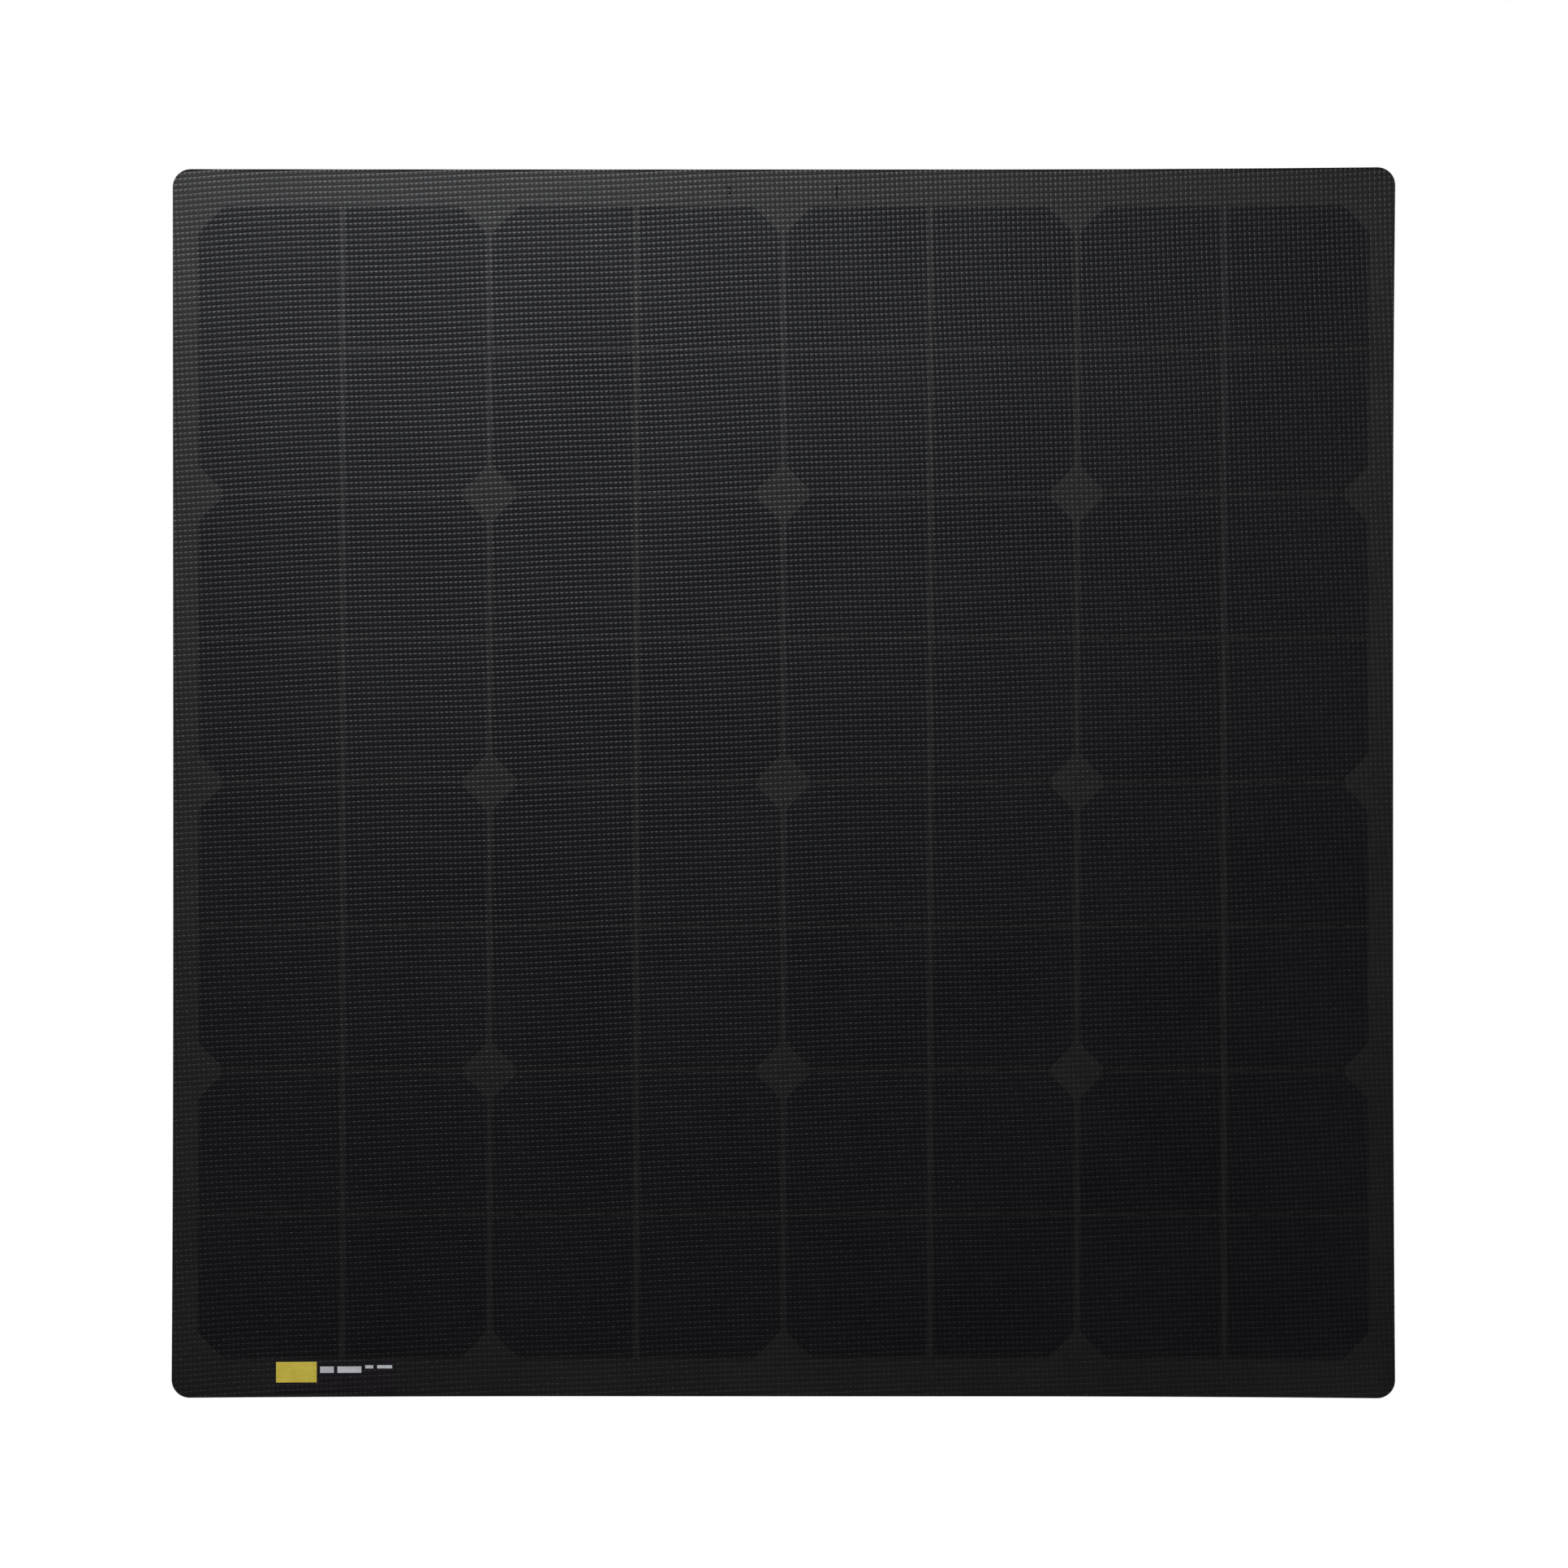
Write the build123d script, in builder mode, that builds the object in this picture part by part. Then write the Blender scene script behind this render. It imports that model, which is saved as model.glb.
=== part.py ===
from build123d import *
import os

os.makedirs("parts", exist_ok=True)

# Semi-flexible solar panel with its junction box on the rear.
#
# Frame: the panel stands upright, X runs along its width, Z along its height, and the cells face -Y.
# The origin is the centre of the rear bonding face, so the laminate lies at y < 0 and the box at y > 0.
#
# The laminate bends about three lines along X, each in a gap between two rows of whole cells.
# Those lines divide every layer into four strips, which turn on each other at the rear face.

# ---------------------------------------------------------------- driving dimensions, in mm

# Panel outline
panel_w = 537.0
panel_h = 540.0
corner_r = 8.0

# Laminate layers, from the rear face to the front
laminate_t = 1.0
rear_film_t = 0.3
front_film_t = 0.5
sheet_t = 0.4

# Whole cells are 125 mm squares with rounded corners, each cut into four quarters
quarter = 62.5
cell_arc_r = 80.0
cell_t = 0.17
string_gap = 2.15
row_gap = 1.0
field_rise = 0.5
string_count = 8
row_count = 8

# Tabs that join each quarter cell to the next one in its string
tab_w = 42.0
tab_h = 7.0
tab_t = 0.1
tab_slot_w = 14.0
tab_slot_h = 0.7
tab_slot_spacing = 20.0

# Ribbons that join the strings, and the three leads to the junction box
ribbon_w = 4.5
ribbon_t = 0.2
ribbon_under_cell = 2.0
ribbon_reach = 20.0
lead_w = 4.0
lead_z = 260.0
lead_spacing = 24.0
lead_top_y = 4.5
lead_slot_w = 1.6
lead_slot_h = 5.0

# Label film under the front sheet, in the bottom margin
label_w = 53.0
label_h = 13.5
label_t = 0.1
label_x = -197.5
label_z = -260.75

# Junction box
box_w = 84.0
box_h = 59.0
box_z = 237.5
box_corner_r = 5.0
box_wall = 2.5
box_floor = 1.5
pad_t = 0.6
box_rim_y = 14.6
ledge_y = 12.0
rebate_wall = 1.2
rim_chamfer = 0.5
notch_w = 10.0
notch_depth = 1.4

# Lid and its gasket
gasket_t = 0.8
gasket_w = 1.0
lid_t = 2.0
lid_clearance = 0.2
skirt_depth = 1.6
skirt_wall = 1.5
lid_edge_r = 0.6

# Inside the box
rail_w = 11.0
rail_h = 46.0
rail_z = 241.0
rail_t = 0.8
rail_pad_r = 1.6
diode_z = 238.0
diode_y = 6.0
diode_r = 2.7
diode_length = 9.5
diode_wire_r = 0.5
diode_span = 18.0
diode_bend_r = 1.2
potting_top_y = 9.2
channel_r = 3.1
channel_inner_x = 30.0

# Cable outlets, one on each side of the box
outlet_y = 7.8
outlet_z = 238.0
boss_r = 6.4
boss_length = 9.0
wall_bore_r = 3.3
seal_r = 4.6
seal_bore_r = 3.0
seal_length = 6.5
nut_corner_r = 8.6
nut_bore_r = 6.5
nut_hole_r = 3.6
nut_end_t = 2.5
nut_length = 10.0
nut_chamfer = 0.8

# ---------------------------------------------------------------- derived values

row_pitch = quarter + row_gap
string_pitch = quarter + string_gap
field_half_h = (row_count * quarter + (row_count - 1) * row_gap) / 2
cell_top_z = field_rise + field_half_h
cell_bottom_z = field_rise - field_half_h

# Distances of the layers' rear faces in front of the bonding face
rear_film_level = laminate_t
cell_level = rear_film_level + rear_film_t
sheet_level = cell_level + front_film_t

# Strips of the laminate, each two quarter-cell rows high, between these heights
strips = ["top", "upper", "lower", "bottom"]
bend_lines = [field_rise + 2 * row_pitch * n for n in (1, 0, -1)]
strip_edges = [panel_h / 2] + bend_lines + [-panel_h / 2]

floor_y = pad_t + box_floor
inner_w = box_w - 2 * box_wall
inner_h = box_h - 2 * box_wall
rebate_w = box_w - 2 * rebate_wall
rebate_h = box_h - 2 * rebate_wall
box_inner_r = box_corner_r - box_wall
rebate_r = box_corner_r - rebate_wall
lid_y = ledge_y + gasket_t
boss_end_x = box_w / 2 + boss_length
lead_places = [(lead_spacing * side, lead_z) for side in (-1, 0, 1)]


def string_x(string):
    """Centre of a string of quarter cells, counted from the left."""
    return (string - (string_count - 1) / 2) * string_pitch


def row_z(row):
    """Centre of a row of quarter cells, counted from the top."""
    return field_rise + ((row_count - 1) / 2 - row) * row_pitch


def front_plane(level):
    """Plane at a distance in front of the bonding face, facing the front."""
    return Plane.XZ.offset(level)


def rear_plane(y):
    """Plane at a height y behind the bonding face. An extrusion from it by a negative amount goes up in y."""
    return Plane.XZ.offset(-y)


def finish(builder, name):
    """Label a finished piece and write it."""
    builder.part.label = name
    export_step(builder.part, f"parts/{name}.step")


def draw_strip(n):
    """Outline of one strip: its band of the whole panel."""
    top, bottom = strip_edges[n], strip_edges[n + 1]
    RectangleRounded(panel_w, panel_h, corner_r)
    with Locations((0, (top + bottom) / 2)):
        Rectangle(panel_w, top - bottom, mode=Mode.INTERSECT)


# One quarter cell, with the whole cell's rounded corner at its upper right
with BuildSketch() as quarter_outline:
    Rectangle(quarter, quarter)
    with Locations((-quarter / 2, -quarter / 2)):
        Circle(cell_arc_r, mode=Mode.INTERSECT)


def cell_turn(row, string):
    """Angle that brings a quarter's rounded corner to the outside of its whole cell."""
    left, upper = string % 2 == 0, row % 2 == 0
    if upper:
        return 90 if left else 0
    return 180 if left else 270


def draw_cells(n):
    """The sixteen quarter cells of one strip."""
    for row in (2 * n, 2 * n + 1):
        for string in range(string_count):
            with Locations((string_x(string), row_z(row))):
                add(quarter_outline.sketch, rotation=cell_turn(row, string))


def draw_tabs(n):
    """The tabs that cross the row gaps of one strip. Those on a bend line are divided there."""
    places = []
    for line in (2 * n - 1, 2 * n, 2 * n + 1):
        if 0 <= line < row_count - 1:
            places += [(string_x(string), row_z(line) - row_pitch / 2) for string in range(string_count)]
    with Locations(places):
        Rectangle(tab_w, tab_h)
    for side in (-1, 1):
        with Locations([(x + side * tab_slot_spacing / 2, z) for x, z in places]):
            Rectangle(tab_slot_w, tab_slot_h, mode=Mode.SUBTRACT)
    top, bottom = strip_edges[n], strip_edges[n + 1]
    with Locations((0, (top + bottom) / 2)):
        Rectangle(panel_w, top - bottom, mode=Mode.INTERSECT)


def draw_ribbons(first_strings, z):
    """Ribbons that each join a string to the one on its right."""
    with Locations([(string_x(first) + string_pitch / 2, z) for first in first_strings]):
        Rectangle(string_pitch + 2 * ribbon_reach, ribbon_w)


# ---------------------------------------------------------------- ribbons and leads

top_ribbon_z = cell_top_z - ribbon_under_cell + ribbon_w / 2
bottom_ribbon_z = cell_bottom_z + ribbon_under_cell - ribbon_w / 2

with BuildPart() as top_bus_ribbons:
    with BuildSketch(front_plane(cell_level)):
        draw_ribbons([1, 3, 5], top_ribbon_z)
    extrude(amount=-ribbon_t)
finish(top_bus_ribbons, "top_bus_ribbons")

with BuildPart() as bottom_bus_ribbons:
    with BuildSketch(front_plane(cell_level)):
        draw_ribbons([0, 2, 4, 6], bottom_ribbon_z)
    extrude(amount=-ribbon_t)
finish(bottom_bus_ribbons, "bottom_bus_ribbons")

lead_low_z = cell_top_z - ribbon_under_cell
lead_high_z = lead_z + lead_w / 2

# The outer leads run along the top margin from the first and the last string, and then out to the rear
outer_leads = []
for name, side in (("lead_ribbon_positive", -1), ("lead_ribbon_negative", 1)):
    string_end_x = side * string_x(string_count - 1)
    slot_x = side * lead_spacing
    run_end_x = slot_x - side * ribbon_t / 2
    with BuildPart() as lead:
        with BuildSketch(front_plane(cell_level)):
            with Locations(((string_end_x + run_end_x) / 2, lead_z)):
                Rectangle(abs(string_end_x - run_end_x), lead_w)
            with Locations((string_end_x, (lead_low_z + lead_high_z) / 2)):
                Rectangle(lead_w, lead_high_z - lead_low_z)
        extrude(amount=-ribbon_t)
        with BuildSketch(front_plane(cell_level)):
            with Locations((slot_x, lead_z)):
                Rectangle(ribbon_t, lead_w)
        extrude(amount=-(cell_level + lead_top_y))
    finish(lead, name)
    outer_leads.append(lead)

middle_lead_low_z = top_ribbon_z + ribbon_w / 2
with BuildPart() as lead_ribbon_middle:
    with BuildSketch(front_plane(cell_level)):
        with Locations((0, (middle_lead_low_z + lead_high_z) / 2)):
            Rectangle(lead_w, lead_high_z - middle_lead_low_z)
    extrude(amount=-ribbon_t)
    with BuildSketch(front_plane(cell_level)):
        with Locations((0, lead_z)):
            Rectangle(ribbon_t, lead_w)
    extrude(amount=-(cell_level + lead_top_y))
finish(lead_ribbon_middle, "lead_ribbon_middle")

leads = outer_leads + [lead_ribbon_middle]
conductors = {"top": [top_bus_ribbons] + leads, "bottom": [bottom_bus_ribbons]}

# ---------------------------------------------------------------- label film

with BuildPart() as label_film:
    with BuildSketch(front_plane(sheet_level)):
        with Locations((label_x, label_z)):
            Rectangle(label_w, label_h)
    extrude(amount=-label_t)
finish(label_film, "label_film")

# ---------------------------------------------------------------- laminate, strip by strip

for n, strip in enumerate(strips):
    with BuildPart() as back_laminate:
        with BuildSketch(front_plane(0)):
            draw_strip(n)
            if strip == "top":
                with Locations(lead_places):
                    Rectangle(lead_slot_w, lead_slot_h, mode=Mode.SUBTRACT)
        extrude(amount=laminate_t)
    finish(back_laminate, f"back_laminate_{strip}")

    with BuildPart() as cell_tabs:
        with BuildSketch(front_plane(cell_level)):
            draw_tabs(n)
        extrude(amount=-tab_t)
    finish(cell_tabs, f"cell_tabs_{strip}")

    with BuildPart() as rear_encapsulant:
        with BuildSketch(front_plane(rear_film_level)):
            draw_strip(n)
            if strip == "top":
                with Locations(lead_places):
                    Rectangle(lead_slot_w, lead_slot_h, mode=Mode.SUBTRACT)
        extrude(amount=rear_film_t)
        add(cell_tabs.part, mode=Mode.SUBTRACT)
        for conductor in conductors.get(strip, []):
            add(conductor.part, mode=Mode.SUBTRACT)
    finish(rear_encapsulant, f"rear_encapsulant_{strip}")

    with BuildPart() as cells:
        with BuildSketch(front_plane(cell_level)):
            draw_cells(n)
        extrude(amount=cell_t)
    finish(cells, f"cells_{strip}")

    with BuildPart() as front_encapsulant:
        with BuildSketch(front_plane(cell_level)):
            draw_strip(n)
        extrude(amount=front_film_t)
        add(cells.part, mode=Mode.SUBTRACT)
        if strip == "bottom":
            add(label_film.part, mode=Mode.SUBTRACT)
    finish(front_encapsulant, f"front_encapsulant_{strip}")

    with BuildPart() as front_sheet:
        with BuildSketch(front_plane(sheet_level)):
            draw_strip(n)
        extrude(amount=sheet_t)
    finish(front_sheet, f"front_sheet_{strip}")

# ---------------------------------------------------------------- junction box

with BuildPart() as box_pad:
    with BuildSketch(rear_plane(0)):
        with Locations((0, box_z)):
            RectangleRounded(box_w, box_h, box_corner_r)
        with Locations(lead_places):
            Rectangle(lead_slot_w, lead_slot_h, mode=Mode.SUBTRACT)
    extrude(amount=-pad_t)
finish(box_pad, "box_adhesive_pad")

with BuildPart() as box_base:
    with BuildSketch(rear_plane(pad_t)):
        with Locations((0, box_z)):
            RectangleRounded(box_w, box_h, box_corner_r)
    extrude(amount=-(box_rim_y - pad_t))
    chamfer(box_base.faces().sort_by(Axis.Y)[-1].edges(), rim_chamfer)
    # threaded outlets
    for side in (-1, 1):
        with BuildSketch(Plane.YZ.offset(side * (box_w / 2 - box_wall / 2))):
            with Locations((outlet_y, outlet_z)):
                Circle(boss_r)
        extrude(amount=side * (boss_length + box_wall / 2))
    # the hollow, and above it the rebate that the lid sits in
    with BuildSketch(rear_plane(floor_y)):
        with Locations((0, box_z)):
            RectangleRounded(inner_w, inner_h, box_inner_r)
    extrude(amount=-(box_rim_y - floor_y), mode=Mode.SUBTRACT)
    with BuildSketch(rear_plane(ledge_y)):
        with Locations((0, box_z)):
            RectangleRounded(rebate_w, rebate_h, rebate_r)
    extrude(amount=-(box_rim_y - ledge_y), mode=Mode.SUBTRACT)
    # a notch in the lower rim, for the blade that lifts the lid
    with BuildSketch(rear_plane(box_rim_y)):
        with Locations((0, box_z - (box_h - rebate_wall) / 2)):
            Rectangle(notch_w, rebate_wall)
    extrude(amount=notch_depth, mode=Mode.SUBTRACT)
    # slots for the leads
    with BuildSketch(rear_plane(pad_t)):
        with Locations(lead_places):
            Rectangle(lead_slot_w, lead_slot_h)
    extrude(amount=-box_floor, mode=Mode.SUBTRACT)
    # cable bores, and the seats of the seals
    for side in (-1, 1):
        with BuildSketch(Plane.YZ.offset(side * inner_w / 2)):
            with Locations((outlet_y, outlet_z)):
                Circle(wall_bore_r)
        extrude(amount=side * (boss_length + box_wall), mode=Mode.SUBTRACT)
        with BuildSketch(Plane.YZ.offset(side * (boss_end_x - seal_length))):
            with Locations((outlet_y, outlet_z)):
                Circle(seal_r)
        extrude(amount=side * seal_length, mode=Mode.SUBTRACT)
finish(box_base, "box_base")

with BuildPart() as lid_gasket:
    with BuildSketch(rear_plane(ledge_y)):
        with Locations((0, box_z)):
            RectangleRounded(inner_w + 2 * gasket_w, inner_h + 2 * gasket_w, box_inner_r + gasket_w)
            RectangleRounded(inner_w, inner_h, box_inner_r, mode=Mode.SUBTRACT)
    extrude(amount=-gasket_t)
finish(lid_gasket, "lid_gasket")

with BuildPart() as box_lid:
    with BuildSketch(rear_plane(lid_y)):
        with Locations((0, box_z)):
            RectangleRounded(
                rebate_w - 2 * lid_clearance, rebate_h - 2 * lid_clearance, rebate_r - lid_clearance
            )
    extrude(amount=-lid_t)
    chamfer(box_lid.faces().sort_by(Axis.Y)[-1].edges(), lid_edge_r)
    skirt_w = inner_w - 2 * lid_clearance
    skirt_h = inner_h - 2 * lid_clearance
    with BuildSketch(rear_plane(lid_y)):
        with Locations((0, box_z)):
            RectangleRounded(skirt_w, skirt_h, box_inner_r - lid_clearance)
            RectangleRounded(
                skirt_w - 2 * skirt_wall, skirt_h - 2 * skirt_wall, lid_clearance, mode=Mode.SUBTRACT
            )
    extrude(amount=skirt_depth)
finish(box_lid, "box_lid")

# Copper rails, one for each lead, each with a hole for the lead and a solder hole at its other end
rails = []
for name, side in (("terminal_positive", -1), ("terminal_middle", 0), ("terminal_negative", 1)):
    with BuildPart() as rail:
        with BuildSketch(rear_plane(floor_y)):
            with Locations((side * lead_spacing, rail_z)):
                Rectangle(rail_w, rail_h)
            with Locations((side * lead_spacing, lead_z)):
                Rectangle(lead_slot_w, lead_slot_h, mode=Mode.SUBTRACT)
            with Locations((side * lead_spacing, rail_z - rail_h / 2 + 2 * rail_pad_r)):
                Circle(rail_pad_r, mode=Mode.SUBTRACT)
        extrude(amount=-rail_t)
    finish(rail, name)
    rails.append(rail)

# Axial bypass diodes, each from one rail to the next
diodes = []
rail_top_y = floor_y + rail_t
for name, side in (("bypass_diode_left", -1), ("bypass_diode_right", 1)):
    middle_x = side * lead_spacing / 2
    with BuildPart() as diode:
        with BuildLine(Plane.XY.offset(diode_z)) as wire:
            FilletPolyline(
                (middle_x - diode_span / 2, rail_top_y),
                (middle_x - diode_span / 2, diode_y),
                (middle_x + diode_span / 2, diode_y),
                (middle_x + diode_span / 2, rail_top_y),
                radius=diode_bend_r,
            )
        with BuildSketch(Plane(wire.line @ 0, z_dir=wire.line % 0)):
            Circle(diode_wire_r)
        sweep()
        with BuildSketch(Plane.YZ.offset(middle_x - diode_length / 2)):
            with Locations((diode_y, diode_z)):
                Circle(diode_r)
        extrude(amount=diode_length)
    finish(diode, name)
    diodes.append(diode)

# Potting over the rails, with the two channels that the cables lie in
with BuildPart() as box_potting:
    with BuildSketch(rear_plane(floor_y)):
        with Locations((0, box_z)):
            RectangleRounded(inner_w, inner_h, box_inner_r)
    extrude(amount=-(potting_top_y - floor_y))
    for side in (-1, 1):
        with BuildSketch(Plane.YZ.offset(side * channel_inner_x)):
            with Locations((outlet_y, outlet_z)):
                Circle(channel_r)
        extrude(amount=side * (inner_w / 2 - channel_inner_x), mode=Mode.SUBTRACT)
    for buried in rails + diodes + leads:
        add(buried.part, mode=Mode.SUBTRACT)
finish(box_potting, "box_potting")

# Seals and nuts of the cable outlets
for name, side in (("left", -1), ("right", 1)):
    seal_inner_x = side * (boss_end_x - seal_length)
    with BuildPart() as seal:
        with BuildSketch(Plane.YZ.offset(seal_inner_x)):
            with Locations((outlet_y, outlet_z)):
                Circle(seal_r)
                Circle(seal_bore_r, mode=Mode.SUBTRACT)
        extrude(amount=side * seal_length)
    finish(seal, f"gland_seal_{name}")

    nut_outer_x = side * (boss_end_x + nut_end_t)
    with BuildPart() as nut:
        with BuildSketch(Plane.YZ.offset(nut_outer_x)):
            with Locations((outlet_y, outlet_z)):
                RegularPolygon(nut_corner_r, 6, rotation=30)
        extrude(amount=-side * nut_length)
        outer_face = nut.faces().sort_by(Axis.X)[-1 if side > 0 else 0]
        chamfer(outer_face.edges(), nut_chamfer)
        with BuildSketch(Plane.YZ.offset(side * boss_end_x)):
            with Locations((outlet_y, outlet_z)):
                Circle(nut_bore_r)
        extrude(amount=-side * (nut_length - nut_end_t), mode=Mode.SUBTRACT)
        with BuildSketch(Plane.YZ.offset(nut_outer_x)):
            with Locations((outlet_y, outlet_z)):
                Circle(nut_hole_r)
        extrude(amount=-side * nut_end_t, mode=Mode.SUBTRACT)
    finish(nut, f"gland_nut_{name}")
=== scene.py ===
import math
from collections import namedtuple

import bmesh
import bpy
import numpy as np
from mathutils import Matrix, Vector


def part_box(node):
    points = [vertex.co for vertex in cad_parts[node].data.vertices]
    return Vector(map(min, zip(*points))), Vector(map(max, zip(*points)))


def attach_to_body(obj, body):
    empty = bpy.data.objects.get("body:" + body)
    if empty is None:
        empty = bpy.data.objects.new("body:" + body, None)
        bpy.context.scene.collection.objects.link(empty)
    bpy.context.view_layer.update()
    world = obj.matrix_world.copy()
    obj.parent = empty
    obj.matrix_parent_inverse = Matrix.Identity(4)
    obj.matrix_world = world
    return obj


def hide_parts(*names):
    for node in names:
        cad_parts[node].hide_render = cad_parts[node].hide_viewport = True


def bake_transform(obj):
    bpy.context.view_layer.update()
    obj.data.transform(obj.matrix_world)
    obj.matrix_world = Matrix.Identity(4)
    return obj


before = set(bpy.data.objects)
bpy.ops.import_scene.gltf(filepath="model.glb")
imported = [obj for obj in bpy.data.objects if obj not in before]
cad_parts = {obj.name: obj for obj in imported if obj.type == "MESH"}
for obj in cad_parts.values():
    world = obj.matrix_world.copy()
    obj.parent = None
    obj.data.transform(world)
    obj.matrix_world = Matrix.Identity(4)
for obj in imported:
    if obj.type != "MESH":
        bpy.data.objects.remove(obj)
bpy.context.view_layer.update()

# ---------------------------------------------------------------- sizes, in metres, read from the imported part

sheet_low, sheet_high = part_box("front_sheet_top")
HALF_W = sheet_high.x
HALF_H = sheet_high.z
FRONT_Y = sheet_low.y
SHEET_REAR_Y = sheet_high.y
CORNER_R = 0.008

pad_low, pad_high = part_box("box_adhesive_pad")
LABEL_FRONT_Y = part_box("label_film")[0].y

# The three bend lines, and half the height of one strip of the laminate
BENDS = [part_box(f"back_laminate_{strip}")[0].z for strip in ("top", "upper", "lower")]
HALF_STRIP = (BENDS[0] - BENDS[1]) / 2

# The laminate is shown as zones. A bending zone reaches from the middle of one strip to the middle of the
# next, and the strips that a zone crosses are listed from the top down.
Zone = namedtuple("Zone", "name high low strips")
ZONES = [Zone("edge_top", HALF_H, BENDS[0] + HALF_STRIP, ["top"])]
for bend, line, strips in (
    ("top", BENDS[0], ["top", "upper"]),
    ("middle", BENDS[1], ["upper", "lower"]),
    ("bottom", BENDS[2], ["lower", "bottom"]),
):
    ZONES.append(Zone(f"bend_{bend}", line + HALF_STRIP, line - HALF_STRIP, strips))
ZONES.append(Zone("edge_bottom", BENDS[2] - HALF_STRIP, -HALF_H, ["bottom"]))
ZONE_EDGES = np.array([zone.low for zone in ZONES[:-1]])

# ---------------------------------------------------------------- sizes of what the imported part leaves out

# The pattern of quarter cells: pitches, gaps, the height of one gap's centre line, and a cell's paler rim
COLUMN_PITCH, COLUMN_GAP = 0.06465, 0.00215
ROW_PITCH, ROW_GAP = 0.0635, 0.001
ROW_LINE = 0.0005
RIM_WIDTH = 0.0009

# Embossing of the front sheet: a checkerboard of tall round bumps and lower ridged ones
BUMP_W, BUMP_H = 0.002117, 0.00238
BUMP_RELIEF = 0.00026
BUMP_STEPS = 3
STEEPEST = 0.60
FLATNESS = 1.5
ROUNDING = 0.5
LOW_BUMP = 0.82
RIDGE_SLOPE = 0.12
RIDGE_REACH = 1.2
RIDGE_HEIGHT = 0.1
SMALLEST_BUMP, BUMP_SPREAD = 0.86, 0.28
ROW_TILT = math.radians(2.4)
COLUMN_TILT = math.radians(2.1)
STEEP_EDGE = 0.045

# How far the grid of bumps reaches from the middle, how close to the outline its points move onto it, and the
# outline's depth as a share of the relief
GRID_REACH_X, GRID_REACH_Z = 0.285, 0.289
OUTLINE_MARGIN = 0.0001
OUTLINE_DEPTH = 0.6

# How far each corner curls to the front: (side in x, side in z, height)
CURLS = [(1, 1, 0.006), (1, -1, 0.0055), (-1, -1, 0.004), (-1, 1, 0.001)]
CURL_REACH = 0.19

# The sheet's faint unevenness, and the patch around the junction box that is free of it
UNEVENNESS = 0.00022
BOX_CENTRE_Z = (pad_low.z + pad_high.z) / 2
PATCH_RADIUS, PATCH_FADE = 0.06, 0.06
PATCH_SQUASH = 1.2

# Steps at which the layers are cut so that they can bend and curl
STEP_X, STEP_Z = 0.0303, 0.0079
LABEL_STEP = 0.004

# Points closer than this are one point
TOUCH = 1e-6

# ---------------------------------------------------------------- shape helpers


def ease(share):
    """From 0 to 1, with a soft start and a soft end."""
    return share * share * (3 - 2 * share)


def warp(co):
    """The sheet's lie: corners that curl to the front and a faint unevenness, but flat under the box."""
    x, z = co[:, 0], co[:, 2]
    lift = np.zeros(len(co))
    for side_x, side_z, height in CURLS:
        near_x = np.clip(1 - np.abs(HALF_W * side_x - x) / CURL_REACH, 0, 1)
        near_z = np.clip(1 - np.abs(HALF_H * side_z - z) / CURL_REACH, 0, 1)
        lift += height * near_x**2 * near_z**2
    from_box = np.hypot(x, (z - BOX_CENTRE_Z) * PATCH_SQUASH)
    away = ease(np.clip((from_box - PATCH_RADIUS) / PATCH_FADE, 0, 1))
    uneven = np.sin(x * 17 + 0.7) * np.sin(z * 13 - 0.4) + 0.6 * np.sin(x * 9 - z * 21 + 1.1)
    moved = co.copy()
    moved[:, 1] -= lift + UNEVENNESS * away * uneven
    return moved


def warp_mesh(mesh):
    """Gives a finished flat mesh the sheet's lie."""
    co = np.zeros(len(mesh.vertices) * 3)
    mesh.vertices.foreach_get("co", co)
    mesh.vertices.foreach_set("co", warp(co.reshape(-1, 3)).ravel())


def outline_distance(x, z):
    """Distance outside the panel's outline, below 0 inside it."""
    dx = np.abs(x) - (HALF_W - CORNER_R)
    dz = np.abs(z) - (HALF_H - CORNER_R)
    return np.hypot(np.maximum(dx, 0), np.maximum(dz, 0)) + np.minimum(np.maximum(dx, dz), 0) - CORNER_R


def onto_outline(x, z):
    """The panel's outline at the nearest place, for points outside it or close to it."""
    inner_x = np.clip(x, -(HALF_W - CORNER_R), HALF_W - CORNER_R)
    inner_z = np.clip(z, -(HALF_H - CORNER_R), HALF_H - CORNER_R)
    dx, dz = x - inner_x, z - inner_z
    # points further in than the corner's radius stay where they are
    near_edge = (dx != 0) | (dz != 0)
    length = np.where(near_edge, np.hypot(dx, dz), 1)
    scale = np.where(near_edge, CORNER_R / length, 1)
    return inner_x + dx * scale, inner_z + dz * scale


def add_object(name, mesh, materials):
    piece = bpy.data.objects.new(name, mesh)
    bpy.context.scene.collection.objects.link(piece)
    for material in materials:
        mesh.materials.append(material)
    return piece


def attach(piece, zone, nodes):
    """The piece follows its zone: it rides on one strip, or bends between two."""
    bodies = [f"{strip}_strip" for strip in zone.strips]
    if len(bodies) == 2:
        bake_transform(piece)
    else:
        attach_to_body(piece, bodies[0])
    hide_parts(*nodes)


def smooth_by_angle(mesh, degrees=35):
    mesh.shade_smooth()
    mesh.set_sharp_from_angle(angle=math.radians(degrees))


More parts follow.
